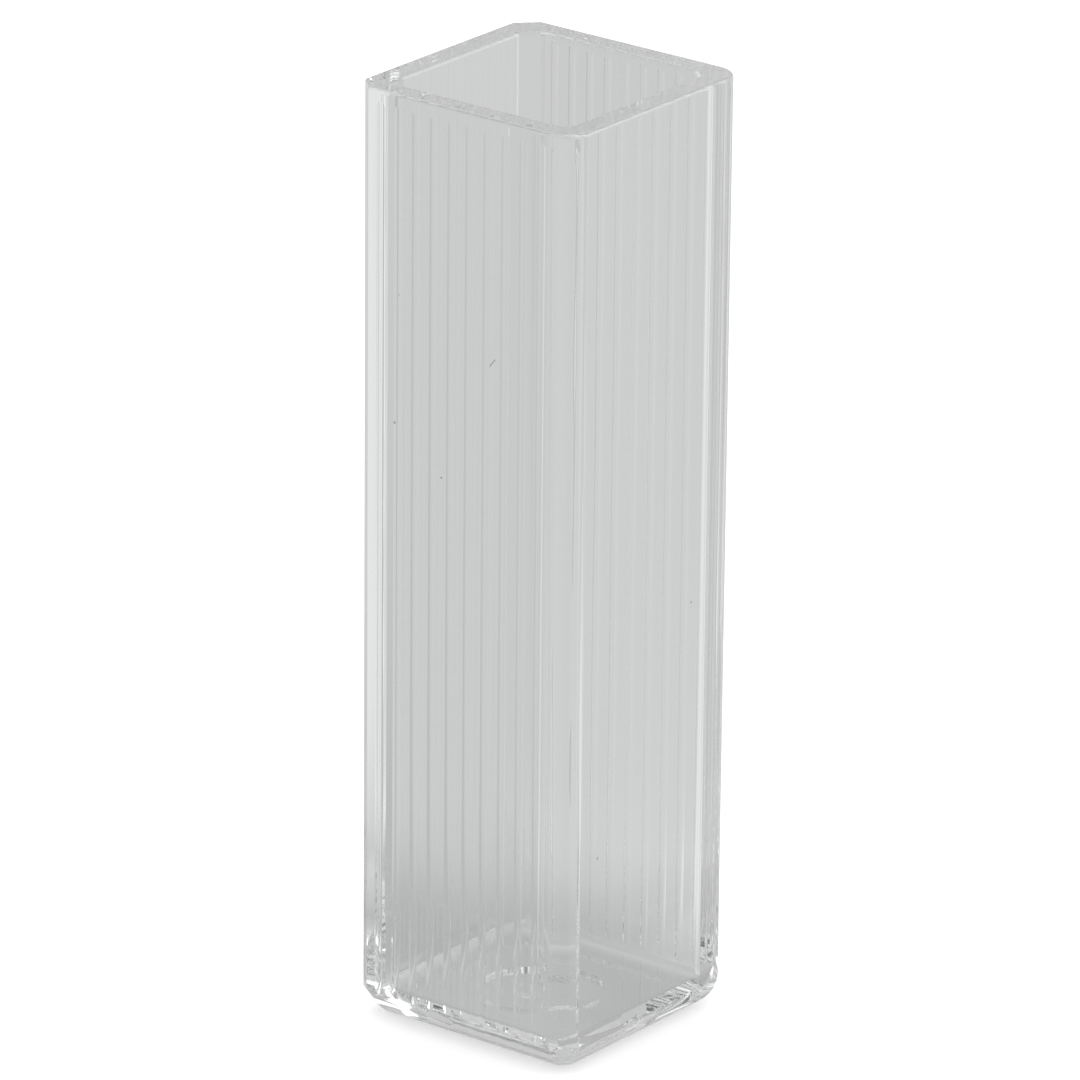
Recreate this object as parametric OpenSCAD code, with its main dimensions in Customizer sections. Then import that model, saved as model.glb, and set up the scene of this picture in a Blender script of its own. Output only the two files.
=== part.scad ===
// A disposable spectrophotometer cuvette: one clear moulding, open at the top.
// It stands on its base at z = 0, centred on the Z axis. Light passes along Y, through the two
// clear windows. The two faces across X are fluted, so that fingers stay off the windows.

/* [Body] */
// Height from the base to the rim
height = 45; // [25:1:60]
// Thickness of the walls at the rim
wall_thickness = 1.25; // [1:0.05:2]
// How much each outer face leans in from the rim to the base, so that the mould lets go
draft = 0.06; // [0.02:0.01:0.15]
// Bevel on the two back edges, which tells the back from the front
edge_chamfer = 1.0; // [0.5:0.05:1.2]
// Rounding of the two front edges
edge_radius = 1.25; // [0.8:0.05:1.8]

/* [Cavity] */
// Inside width at the rim, which is the length of the light path
path_length = 10; // [6:0.1:20]
// How much each cavity wall leans in from the rim to the floor
cavity_draft = 0.03; // [0:0.01:0.1]
// Thickness of the floor under the sample
floor_thickness = 1.5; // [1.2:0.05:3]
// Bevel in the two back corners of the cavity
cavity_chamfer = 0.8; // [0.4:0.05:1.2]
// Rounding in the two front corners of the cavity
cavity_radius = 0.7; // [0.4:0.05:1.5]
// Width of the narrow flats that ease the edges of the cavity's bevels
cavity_ease = 0.2; // [0.1:0.01:0.3]
// Bevel round the cavity's floor
floor_ease = 0.2; // [0.1:0.01:0.3]

/* [Rim] */
// Rounding of the rim's outer edge
rim_outer_round = 0.2; // [0.1:0.01:0.3]
// Rounding of the rim's inner edge
rim_inner_round = 0.25; // [0.1:0.01:0.4]

/* [Base] */
// Rounding of the base edges under the fluted faces
base_round_fluted = 1.9; // [1:0.05:2.2]
// Rounding of the base edge under the front window
base_round_window = 1.4; // [1.3:0.05:2.2]
// Rounding of the base edge under the back window
base_round_back = 0.9; // [0.6:0.05:1.1]
// Rounding under the tips of the two front edges, which flattens them a little
base_round_tip = 1.9; // [1.5:0.05:2.4]
// Height at which the flat under each back edge starts, beside the window
foot_flat_height = 1.17; // [1.12:0.01:1.5]
// Angle by which that flat turns from the bevel above it towards the fluted face
foot_flat_turn = 11; // [0:1:20]
// Angle by which it leans in under the body
foot_flat_lean = 35; // [25:1:45]
// Diameter of the shallow recess that keeps the gate mark off the bench
recess_diameter = 5; // [3:0.1:6.5]
// Depth of that recess
recess_depth = 0.35; // [0.2:0.05:0.6]
// Diameter of the gate mark left in the recess
gate_diameter = 1.4; // [0.8:0.1:2]
// Gap between the gate mark and the bench
gate_clearance = 0.1; // [0.05:0.01:0.15]

/* [Flutes] */
// Distance from one flute to the next
flute_pitch = 1.01; // [0.8:0.01:1.05]
// Number of flutes on the left face
left_flutes = 10; // [2:1:10]
// Number of flutes on the right face
right_flutes = 9; // [1:1:9]
// Radius of the round groove that makes a flute
flute_radius = 0.5; // [0.3:0.05:0.8]
// Depth of a flute
flute_depth = 0.05; // [0.03:0.01:0.1]
// Plain band between the rim and the flutes
flute_top_gap = 0.55; // [0.5:0.05:3]

/* [Hidden] */
$fn = 48;
// How far a cutter runs past the surface that it opens
over = 1;
half_path = path_length / 2;
half_width = half_path + wall_thickness;
body_width = 2 * half_width;

// Share of its radius by which a rounding crosses the flat beside it, because two leaning
// surfaces that only touch don't cut each other cleanly
crossing = 0.001;
// How much smaller the rim's roundings are on the bevels, so that no four faces meet in a point
bevel_ease = 0.02;
bevel_outer_round = rim_outer_round - bevel_ease;
bevel_inner_round = rim_inner_round - bevel_ease;
bevel_distance = (body_width - edge_chamfer) / sqrt(2);
cavity_bevel_distance = (path_length - cavity_chamfer) / sqrt(2);
// How far the tip's rounding stays clear of the round front edge above it
tip_ease = 0.02;
tip_distance = (half_width - edge_radius) * sqrt(2) + edge_radius + tip_ease;
// Radius of the ball that ends each round front edge at the base
foot_radius = (edge_radius - draft) / (1 - crossing - draft / height);

// The body's flat sides: [direction faced, distance from the axis, base and rim rounding]
body_sides = [
    [0, half_width, base_round_fluted, rim_outer_round],
    [180, half_width, base_round_fluted, rim_outer_round],
    [90, half_width, base_round_back, rim_outer_round],
    [270, half_width, base_round_window, rim_outer_round],
    [45, bevel_distance, 0, bevel_outer_round],
    [135, bevel_distance, 0, bevel_outer_round],
    [225, tip_distance, base_round_tip, bevel_outer_round],
    [315, tip_distance, base_round_tip, bevel_outer_round]
];

// The flats under the two back edges: the direction faced on the right, and the distance at z = 0
foot_flat_direction = 45 - foot_flat_turn;
foot_flat_distance = (half_width - draft) * sin(foot_flat_direction)
    + (half_width - edge_chamfer) * cos(foot_flat_direction)
    - foot_flat_height * tan(foot_flat_lean);

// The narrow flats on the cavity's bevels: how far they stand from the axis. Where two walls meet
// at 135 degrees, a flat across the edge is 2 * tan(67.5) times as wide as it is deep
ease_distance = half_path * cos(22.5) + (half_path - cavity_chamfer) * sin(22.5)
    - cavity_ease / (2 * tan(67.5));
ease_inner_round = bevel_inner_round - bevel_ease;

// The cavity's flat walls: [direction that they lie in, distance from the axis, rim rounding, floor
// bevel]. Neighbours differ a little in the last two, for the same reason as on the outside
cavity_walls = [
    [0, half_path, rim_inner_round, floor_ease],
    [180, half_path, rim_inner_round, floor_ease],
    [90, half_path, rim_inner_round, floor_ease],
    [270, half_path, rim_inner_round, floor_ease],
    [45, cavity_bevel_distance, bevel_inner_round, floor_ease - bevel_ease],
    [135, cavity_bevel_distance, bevel_inner_round, floor_ease - bevel_ease],
    [22.5, ease_distance, ease_inner_round, floor_ease - 2 * bevel_ease],
    [67.5, ease_distance, ease_inner_round, floor_ease - 2 * bevel_ease],
    [112.5, ease_distance, ease_inner_round, floor_ease - 2 * bevel_ease],
    [157.5, ease_distance, ease_inner_round, floor_ease - 2 * bevel_ease]
];

// What a rounding takes off a square corner at the origin, for material towards -X and -Y
module spandrel(radius) {
    difference() {
        translate([-radius, -radius]) square(radius + over);
        translate([-radius, -radius]) circle(radius);
    }
}

// A section in X and Z, stood upright, turned to face a direction and run sideways
module run_sideways(direction) {
    rotate([0, 0, direction]) rotate([90, 0, 0])
        linear_extrude(height = 2 * body_width, center = true) children();
}

// Carries a shape drawn round the origin to the centres of a square's two round front corners
module at_front_corners(half_side, radius) {
    centre = half_side - radius + crossing * radius;
    for (side = [-1, 1])
        translate([side * centre, -centre, 0])
            mirror([side < 0 ? 1 : 0, 0, 0]) children();
}

// The part of a front corner that lies outside the round form given as the child, which stands on
// the corner's own axis
module corner_outside_of(radius, bottom, top) {
    difference() {
        translate([0, -radius - over, bottom]) cube([radius + over, radius + over, top - bottom]);
        children();
    }
}

// The form of a round front edge: a cone as slight as the faces' lean, which ends in a ball
module front_edge() {
    rotate_extrude()
        round_rim(edge_radius, rim_outer_round)
            leaning_section(0, edge_radius, draft, foot_radius, height + 2 * over);
    translate([0, 0, foot_radius]) sphere(r = foot_radius);
}

// Where a leaning face stands at a level: its full distance at the rim, less its lean at z = 0
function face_at(distance, lean, level) = distance - lean * (1 - level / height);

// Section of what lies between an inner line and a leaning face
module leaning_section(inner, distance, lean, bottom, top) {
    polygon([
        [inner, bottom],
        [face_at(distance, lean, bottom), bottom],
        [face_at(distance, lean, top), top],
        [inner, top]
    ]);
}

// Takes the rim's rounding off a section whose leaning face stands at the given distance
module round_rim(distance, radius) {
    difference() {
        children();
        translate([face_at(distance, draft, height - radius) + crossing * radius, height])
            spandrel(radius);
    }
}

// Takes the base's rounding off such a section
module round_base(distance, radius) {
    difference() {
        children();
        if (radius > 0)
            translate([face_at(distance, draft, radius) + crossing * radius, 0])
                mirror([0, 1]) spandrel(radius);
    }
}

// Section of what lies inside the flat under a back edge, which leans in towards the base
module foot_flat_section() {
    polygon([
        [-body_width, 0],
        [foot_flat_distance, 0],
        [foot_flat_distance + height * tan(foot_flat_lean), height],
        [-body_width, height]
    ]);
}

// The outside form: flat sides that lean in, rounded at the base and rim, and round front edges
module outside() {
    difference() {
        intersection() {
            intersection_for (side = body_sides)
                run_sideways(side[0])
                    round_rim(side[1], side[3])
                        round_base(side[1], side[2])
                            leaning_section(-body_width, side[1], draft, 0, height);
            run_sideways(foot_flat_direction) foot_flat_section();
            run_sideways(180 - foot_flat_direction) foot_flat_section();
        }
        at_front_corners(half_width, edge_radius)
            corner_outside_of(edge_radius, -over, height + over / 2)
                front_edge();
    }
}

// Half section of the cavity out to one wall, with the flare that rounds the rim's inner edge
module flared_section(inner, wall, bottom, top, flare) {
    widest = face_at(wall, cavity_draft, height - flare) + flare - crossing * flare;
    leaning_section(inner, wall, cavity_draft, bottom, top);
    difference() {
        translate([inner, height - flare]) square([widest - inner, top - height + flare]);
        translate([widest, height - flare]) circle(flare);
    }
}

// Takes a small bevel off the bottom of a cavity wall's section
module bevel_floor(wall, size) {
    difference() {
        children();
        translate([face_at(wall, cavity_draft, floor_thickness), floor_thickness])
            polygon([[-size, 0], [-size - over, -over], [over, -over], [over, size + over]]);
    }
}

// The space for the sample: ten flat walls, two round front corners and a flared mouth
module cavity() {
    top = height + over;
    difference() {
        intersection_for (wall = cavity_walls)
            run_sideways(wall[0])
                bevel_floor(wall[1], wall[3])
                    flared_section(-body_width, wall[1], floor_thickness, top, wall[2]);
        at_front_corners(half_path, cavity_radius)
            corner_outside_of(cavity_radius, floor_thickness - over, top + over)
                rotate_extrude()
                    flared_section(
                        0, cavity_radius,
                        floor_thickness - 2 * over, top + 2 * over,
                        rim_inner_round
                    );
    }
}

// One row of grooves in the face towards +X: round at the top, run out over the base rounding
module flutes(count) {
    half_chord = sqrt(pow(flute_radius, 2) - pow(flute_radius - flute_depth, 2));
    groove_end = height - flute_top_gap - half_chord;
    for (index = [0 : count - 1])
        translate([half_width, (index - (count - 1) / 2) * flute_pitch, height])
            rotate([0, atan(draft / height), 0])
                translate([flute_radius - flute_depth, 0, groove_end - height]) {
                    sphere(r = flute_radius);
                    translate([0, 0, -groove_end - over])
                        cylinder(r = flute_radius, h = groove_end + over);
                }
}

// The recess under the base, round the gate mark, which stays clear of the bench
module base_recess() {
    difference() {
        translate([0, 0, -over]) cylinder(d = recess_diameter, h = recess_depth + over);
        translate([0, 0, gate_clearance]) cylinder(d = gate_diameter, h = recess_depth);
    }
}

module cuvette() {
    color([0.82, 0.86, 0.86, 0.5])
        difference() {
            outside();
            cavity();
            base_recess();
            flutes(right_flutes);
            mirror([1, 0, 0]) flutes(left_flutes);
        }
}

cuvette();
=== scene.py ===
# %% [markdown]
# # A clear plastic cuvette
# A cuvette holds a liquid sample in the beam of a spectrophotometer. This one is a single moulding
# of clear polystyrene: a square tube with a floor, two plain windows and two fluted grip faces.
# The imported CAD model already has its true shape, down to the flutes, the bevels and the gate
# mark, so this lesson never touches the mesh. It gives the part a finish, a bench and a room,
# because a clear thing has almost no colour of its own: its look is what it bends and reflects.

# %% Load the part
import math

import bpy
from mathutils import Matrix, Vector


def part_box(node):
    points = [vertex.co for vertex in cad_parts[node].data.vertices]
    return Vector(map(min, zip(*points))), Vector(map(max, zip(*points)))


mm = 0.001
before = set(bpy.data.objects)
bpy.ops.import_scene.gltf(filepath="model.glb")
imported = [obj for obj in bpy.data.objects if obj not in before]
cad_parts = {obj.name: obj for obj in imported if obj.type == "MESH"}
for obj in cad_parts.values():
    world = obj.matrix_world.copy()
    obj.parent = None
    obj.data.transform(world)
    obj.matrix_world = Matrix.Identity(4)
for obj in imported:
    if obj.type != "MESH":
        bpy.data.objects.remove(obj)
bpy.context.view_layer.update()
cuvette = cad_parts["cuvette"]
low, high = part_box("cuvette")
width = high.x - low.x
height = high.z - low.z
print(f"cuvette: {width / mm:.2f} mm wide, {height / mm:.2f} mm tall")

# %% [markdown]
# ## The camera
# The cuvette turns one rounded upright edge towards the viewer and is seen from a little above.
# A wide lens close by would spread its parallel edges apart. A long lens half a metre away keeps
# them nearly parallel, as in a catalogue picture. The camera is placed by the direction to the
# viewer, a slight roll and the point it looks at, so that each number means one thing.

# %% Camera
view_azimuth = math.radians(-52.03)
view_elevation = math.radians(20.58)
view_roll = math.radians(0.548)
view_distance = 0.4782
look_at = Vector((0.00086, 0.00089, height / 2))
lens_mm = 351.04
film_mm = 36
nearest_seen = 0.01


def look_from(azimuth, elevation, roll, distance, target):
    """The matrix of a camera that looks at a target from a direction, rolled by an angle."""
    back = Vector((
        math.sin(azimuth) * math.cos(elevation),
        -math.cos(azimuth) * math.cos(elevation),
        math.sin(elevation),
    ))
    level = Vector((math.cos(azimuth), math.sin(azimuth), 0))
    upright = back.cross(level)
    right = level * math.cos(roll) + upright * math.sin(roll)
    up = upright * math.cos(roll) - level * math.sin(roll)
    place = target + back * distance
    columns = (right, up, back, place)
    rows = [[column[i] for column in columns] for i in range(3)]
    return Matrix(rows + [[0, 0, 0, 1]])


def add_camera():
    """A long lens with everything sharp."""
    lens = bpy.data.cameras.new("camera")
    lens.sensor_width = film_mm
    lens.lens = lens_mm
    lens.clip_start = nearest_seen
    camera = bpy.data.objects.new("camera", lens)
    camera.matrix_world = look_from(
        view_azimuth, view_elevation, view_roll, view_distance, look_at
    )
    bpy.context.scene.collection.objects.link(camera)
    bpy.context.scene.camera = camera


add_camera()
print(f"camera: {lens_mm:.0f} mm lens, {view_distance / mm:.0f} mm away")

# %% [markdown]
# ## Helpers for node trees
# Every finish below is a node tree, and wiring nodes by hand in Python is wordy. Six small
# helpers keep the later cells readable. They add a node, join or set a socket, do a sum, make a
# smooth step between two values, mix two numbers or colours, and fetch the coordinates.

# %% Node helpers
# Where a mix node of each kind keeps its amount, its two inputs and its result
mix_sockets = {"FLOAT": (0, 2, 3, 0), "RGBA": (0, 6, 7, 2)}


def node(tree, kind, **settings):
    """A new node of a kind, with its settings."""
    made = tree.nodes.new(kind)
    for name, value in settings.items():
        setattr(made, name, value)
    return made


def connect(tree, source, target):
    """Link a socket to a socket, or set a number, vector or colour on it."""
    if isinstance(source, bpy.types.NodeSocket):
        tree.links.new(source, target)
    else:
        target.default_value = source


def math_of(tree, operation, *values):
    """One sum in nodes."""
    made = node(tree, "ShaderNodeMath", operation=operation)
    for value, socket in zip(values, made.inputs):
        connect(tree, value, socket)
    return made.outputs[0]


def fade(tree, value, start, end, at_start=0.0, at_end=1.0):
    """A smooth step from one value to another as the input goes from start to end."""
    made = node(tree, "ShaderNodeMapRange", interpolation_type="SMOOTHSTEP")
    for given, socket in zip((value, start, end, at_start, at_end), made.inputs):
        connect(tree, given, socket)
    return made.outputs[0]


def blend(tree, amount, first, second, kind="FLOAT"):
    """A number or a colour that goes from the first to the second."""
    made = node(tree, "ShaderNodeMix", data_type=kind)
    *into, result = mix_sockets[kind]
    for given, index in zip((amount, first, second), into):
        connect(tree, given, made.inputs[index])
    return made.outputs[result]


def coordinates(tree, kind):
    """A vector of texture coordinates and its x, y and z."""
    place = node(tree, "ShaderNodeTexCoord").outputs[kind]
    split = node(tree, "ShaderNodeSeparateXYZ")
    connect(tree, place, split.inputs[0])
    return place, *split.outputs


print("node helpers ready")

# %% [markdown]
# ## Marks in the plastic
# A disposable cuvette isn't flawless. This one has a short scratch high on its left fluted face
# and a few dark specks about as wide as a hair, where dust met the hot plastic. They could be
# painted in an image, but an image needs an unwrapped mesh. Here each mark is a distance from a
# point or a line in the part's own coordinates, so it stays on the part from every side.

# %% Scratch and specks
out_of_face = Vector((1, 0, 0))
scratch_middle = Vector((-6.22, -1.87, 33.6)) * mm
scratch_along = Vector((0, -0.63, 0.777))
scratch_length = 0.55 * mm
scratch_width = 0.05 * mm
scratch_depth = 0.2 * mm
speck_size = 0.055 * mm
specks = [
    Vector(place) * mm
    for place in (
        (-6.23, 3.5, 35.6), (-6.21, 1.0, 27.5), (-6.22, 3.7, 29.5),
        (2.9, -6.22, 20.6), (-3.8, -6.2, 10.2),
    )
]


def distance_to(tree, place, point):
    """How far the surface is from a point."""
    made = node(tree, "ShaderNodeVectorMath", operation="DISTANCE")
    connect(tree, place, made.inputs[0])
    connect(tree, point, made.inputs[1])
    return made.outputs["Value"]


def along_line(tree, place, middle, direction):
    """How far along a direction the surface is from a point, either way."""
    offset = node(tree, "ShaderNodeVectorMath", operation="SUBTRACT")
    connect(tree, place, offset.inputs[0])
    connect(tree, middle, offset.inputs[1])
    dot = node(tree, "ShaderNodeVectorMath", operation="DOT_PRODUCT")
    connect(tree, offset.outputs[0], dot.inputs[0])
    connect(tree, direction, dot.inputs[1])
    return math_of(tree, "ABSOLUTE", dot.outputs["Value"])


def within(tree, distance, size, full, gone):
    """1 close by and 0 further off, with a soft edge between two shares of a size."""
    return fade(tree, distance, size * gone, size * full)


def marks(tree, place):
    """1 on the scratch and the specks, 0 elsewhere."""
    across = out_of_face.cross(scratch_along)
    long_way = along_line(tree, place, scratch_middle, scratch_along)
    short_way = along_line(tree, place, scratch_middle, across)
    depth_way = along_line(tree, place, scratch_middle, out_of_face)
    total = math_of(
        tree, "MULTIPLY",
        within(tree, long_way, scratch_length, full=0.4, gone=0.55),
        within(tree, short_way, scratch_width, full=0.3, gone=0.7),
    )
    in_skin = within(tree, depth_way, scratch_depth, full=1.0, gone=1.5)
    total = math_of(tree, "MULTIPLY", total, in_skin)
    for point in specks:
        speck = within(tree, distance_to(tree, place, point), speck_size, full=0.7, gone=1.3)
        total = math_of(tree, "MAXIMUM", total, speck)
    return total


print(f"marks: one scratch {scratch_length / mm:.2f} mm long, {len(specks)} specks")

# %% [markdown]
# ## Clear polystyrene
# Polystyrene is colourless with a trace of grey-green where the light has gone through a lot of
# it, mirror smooth off a polished mould, and bends light a little more than window glass does. A
# glass shader would do, but the Principled shader carries the same refraction and also exports.
# Two things are added to a flat clear material: the faint waviness that molten plastic leaves as
# it flows up the walls, drawn out along the height, and the roughness and darkness of the marks.

# %% Clear plastic
refraction = 1.59
clear_tint = (0.984, 0.992, 0.991, 1)
mark_tint = (0.30, 0.33, 0.33, 1)
mark_roughness = 0.5
wave_length = 1.6 * mm
wave_height = 0.0025 * mm
wave_stretch = 0.08
wave_detail = 2.0


def clear_plastic():
    """Smooth clear polystyrene with faint flow lines, a scratch and a few specks."""
    material = bpy.data.materials.new("clear_polystyrene")
    material.use_nodes = True
    tree = material.node_tree
    shader = tree.nodes["Principled BSDF"]
    shader.inputs["IOR"].default_value = refraction
    shader.inputs["Transmission Weight"].default_value = 1.0
    place, *_ = coordinates(tree, "Object")
    marked = marks(tree, place)
    tint = blend(tree, marked, clear_tint, mark_tint, "RGBA")
    connect(tree, tint, shader.inputs["Base Color"])
    roughness = math_of(tree, "MULTIPLY", marked, mark_roughness)
    connect(tree, roughness, shader.inputs["Roughness"])

    drawn = node(tree, "ShaderNodeVectorMath", operation="MULTIPLY")
    connect(tree, place, drawn.inputs[0])
    connect(tree, Vector((1, 1, wave_stretch)) / wave_length, drawn.inputs[1])
    flow = node(tree, "ShaderNodeTexNoise")
    connect(tree, drawn.outputs[0], flow.inputs["Vector"])
    connect(tree, 1.0, flow.inputs["Scale"])
    connect(tree, wave_detail, flow.inputs["Detail"])
    bump = node(tree, "ShaderNodeBump")
    connect(tree, flow.outputs[0], bump.inputs["Height"])
    connect(tree, wave_height, bump.inputs["Distance"])
    connect(tree, bump.outputs[0], shader.inputs["Normal"])
    return material


cuvette.data.materials[0] = clear_plastic()
print(f"plastic: IOR {refraction}, flow lines {wave_length / mm:.1f} mm apart")

# %% [markdown]
# ## Where the light comes from
# Upright walls pass a ray on without changing its slope. Seen from a little above, the walls
# therefore show a ring of the bench behind and beside the part, and its base and bevels gather
# light from everywhere else. So the studio is described as a compass: an even tone, and soft
# pools of light that stand out from it. Real lamps on stands could do this, but they would also
# burn the white floor, and a pool that only the plastic sees lights nothing else. On the bench
# the pools are painted light, a glow on its surface. The tones are those of a grey sweep, with a
# window-like light on the right and weaker ones behind the part and on the viewer's side.

# %% Pools of light by compass direction
# An even tone, then for each pool: its middle, half width and soft edge in degrees, its strength
# Painted on the bench as pools of light; in the room, the light the plastic sees low down
along_the_bench = (0.48, (
    (41.0, 10.0, 16.0, 0.12),
    (0.0, 12.0, 22.0, 0.16),
    (0.0, 5.0, 8.0, 0.20),
    (320.0, 8.0, 20.0, 0.32),
    (230.0, 30.0, 50.0, 0.22),
    (204.0, 14.0, 12.0, 0.20),
    (268.0, 8.0, 10.0, 0.18),
    (283.0, 1.5, 6.0, 0.40),
))
# Only on the bench: painted pools of light on a darker painted-shade tone near the part's foot
painted_pools_near_foot = (0.46, (
    (215.0, 30.0, 35.0, 0.50),
    (60.0, 25.0, 20.0, -0.05),
    (330.0, 15.0, 30.0, 0.06),
    (130.0, 20.0, 20.0, 0.20),
))
above_the_bench = (0.58, (
    (185.0, 30.0, 25.0, -0.45),
    (310.0, 10.0, 20.0, 1.00),
    (110.0, 10.0, 15.0, 0.90),
))
overhead = (0.12, (
    (60.0, 35.0, 8.0, 0.90),
    (160.0, 14.0, 6.0, 0.90),
    (300.0, 14.0, 6.0, 0.90),
))


def pools_of_light(tree, x, y, studio):
    """Brightness by compass direction: an even tone and the pools that stand out from it."""
    total, pools = studio
    turn = math_of(tree, "MULTIPLY", math_of(tree, "ARCTAN2", y, x), 180 / math.pi)
    for middle, half, soft, strength in pools:
        away = math_of(tree, "SUBTRACT", turn, middle)
        away = math_of(tree, "ABSOLUTE", math_of(tree, "WRAP", away, -180.0, 180.0))
        pool = fade(tree, away, half, half + soft, strength, 0.0)
        total = math_of(tree, "ADD", total, pool)
    return total


def seen_in_plastic(tree):
    """The light path, and 1 for rays that came by way of the plastic."""
    path = node(tree, "ShaderNodeLightPath")
    glossy, bent = path.outputs["Is Glossy Ray"], path.outputs["Is Transmission Ray"]
    return path, math_of(tree, "MAXIMUM", glossy, bent)


print(f"pools of light: {len(along_the_bench[1])} along the bench, {len(overhead[1])} overhead")

# %% [markdown]
# ## The bench
# The part stands on a plain white bench. Most of what the walls show lies on it, so its tone
# matters more than anything else here. In the plastic the bench is a glow of painted light and
# shade. There is painted shade near the part, standing for the light the part takes from it, and
# it is darkest right under the floor of the cuvette. Under the walls it is painted lighter again,
# standing for light that runs down inside them as in a light guide and comes out at the bottom.
# That painted light is also why the rim looks bright. The shadow on white paper is left to the
# renderer.

# %% Bench
shade_starts = 6 * mm
shade_ends = 22 * mm
# Painted shade right under the cuvette's floor, painted light under its walls
painted_shade_under_floor = 0.435
painted_light_under_walls = 0.56
floor_reaches = 4.6 * mm
walls_begin = 5.6 * mm
edge_of_shade = 2 * mm
paper_white = 0.8
paper_glow = 0.5
bench_half = 2.0
bench_gap = 0.02 * mm


def painted_bench_light(tree):
    """Painted light and shade of the bench as the plastic shows it, by place."""
    _, x, y, _ = coordinates(tree, "Object")
    square = [math_of(tree, "MULTIPLY", side, side) for side in (x, y)]
    distance = math_of(tree, "SQRT", math_of(tree, "ADD", *square))
    # Painted shade close to the part, painted pools of light further off
    tone = blend(
        tree, fade(tree, distance, shade_starts, shade_ends),
        pools_of_light(tree, x, y, painted_pools_near_foot),
        pools_of_light(tree, x, y, along_the_bench),
    )
    out_to = math_of(tree, "MAXIMUM", *[math_of(tree, "ABSOLUTE", side) for side in (x, y)])
    # Painted shade under the cuvette's floor, painted light under its walls
    under = fade(tree, out_to, floor_reaches, walls_begin, painted_shade_under_floor, painted_light_under_walls)
    clear_of_part = fade(tree, out_to, width / 2, width / 2 + edge_of_shade)
    return blend(tree, clear_of_part, under, tone)


def bench_material():
    """White paper for the eye and for shadows, and the bench's painted light and shade in the
    plastic.
    """
    material = bpy.data.materials.new("white_bench")
    material.use_nodes = True
    tree = material.node_tree
    tree.nodes.clear()
    path, in_plastic = seen_in_plastic(tree)
    paper = node(tree, "ShaderNodeBsdfDiffuse")
    connect(tree, (paper_white, paper_white, paper_white, 1), paper.inputs["Color"])
    glow = node(tree, "ShaderNodeEmission")
    seen = math_of(tree, "MULTIPLY", path.outputs["Is Camera Ray"], paper_glow)
    connect(tree, seen, glow.inputs["Strength"])
    sheet = node(tree, "ShaderNodeAddShader")
    connect(tree, paper.outputs[0], sheet.inputs[0])
    connect(tree, glow.outputs[0], sheet.inputs[1])
    # The plastic sees the bench as a glow of painted light and shade
    painted_glow = node(tree, "ShaderNodeEmission")
    connect(tree, painted_bench_light(tree), painted_glow.inputs["Strength"])
    either = node(tree, "ShaderNodeMixShader")
    for given, socket in zip((in_plastic, sheet.outputs[0], painted_glow.outputs[0]), either.inputs):
        connect(tree, given, socket)
    out = node(tree, "ShaderNodeOutputMaterial")
    connect(tree, either.outputs[0], out.inputs[0])
    return material


def add_bench():
    """A flat sheet a hair's breadth under the base."""
    half = bench_half
    corners = [(-half, -half, 0), (half, -half, 0), (half, half, 0), (-half, half, 0)]
    mesh = bpy.data.meshes.new("bench")
    mesh.from_pydata(corners, [], [(0, 1, 2, 3)])
    mesh.materials.append(bench_material())
    bench = bpy.data.objects.new("bench", mesh)
    bench.location = (0, 0, low.z - bench_gap)
    bpy.context.scene.collection.objects.link(bench)
    return bench


bench = add_bench()
print(f"bench: {bench.dimensions.x:.0f} m across")

# %% [markdown]
# ## The room
# The room lights the bench evenly from all sides, so the shadow is soft and the paper is white.
# The plastic sees more than that: lamps overhead with a dark ceiling between them, a darker room
# on the viewer's side and a light wall on either hand. Its thick base picks those up and shows
# them as light and dark glints.

# %% Room
# Each step is between two heights of the view, from 0 at the horizon to 1 straight up
bench_to_wall = (0.0, 0.12)
wall_to_ceiling = (0.55, 0.75)


def add_room():
    """Even light for the bench, and the studio's lights and darks for the plastic."""
    world = bpy.data.worlds.new("studio")
    bpy.context.scene.world = world
    world.use_nodes = True
    tree = world.node_tree
    _, in_plastic = seen_in_plastic(tree)
    _, x, y, z = coordinates(tree, "Generated")
    low_down = pools_of_light(tree, x, y, along_the_bench)
    higher = pools_of_light(tree, x, y, above_the_bench)
    highest = pools_of_light(tree, x, y, overhead)
    light = blend(tree, fade(tree, z, *bench_to_wall), low_down, higher)
    light = blend(tree, fade(tree, z, *wall_to_ceiling), light, highest)
    background = tree.nodes["Background"]
    background.inputs["Color"].default_value = (1, 1, 1, 1)
    connect(tree, blend(tree, in_plastic, 1.0, light), background.inputs["Strength"])
    return world


print(f"room: {add_room().name}")

# %% [markdown]
# ## Letting the light get through
# A ray that enters the rim bounces some thirty times inside a wall before it leaves at the base.
# Blender stops a ray after twelve by default, and what it stops turns black. Allowing many more
# costs little, because only the rays in the rim and the base need them.

# %% Long light paths
most_bounces = 128
cycles = bpy.context.scene.cycles
for setting in ("max_bounces", "transmission_bounces", "glossy_bounces"):
    setattr(cycles, setting, most_bounces)
bpy.context.scene.view_settings.view_transform = "Standard"
print(f"up to {most_bounces} bounces")
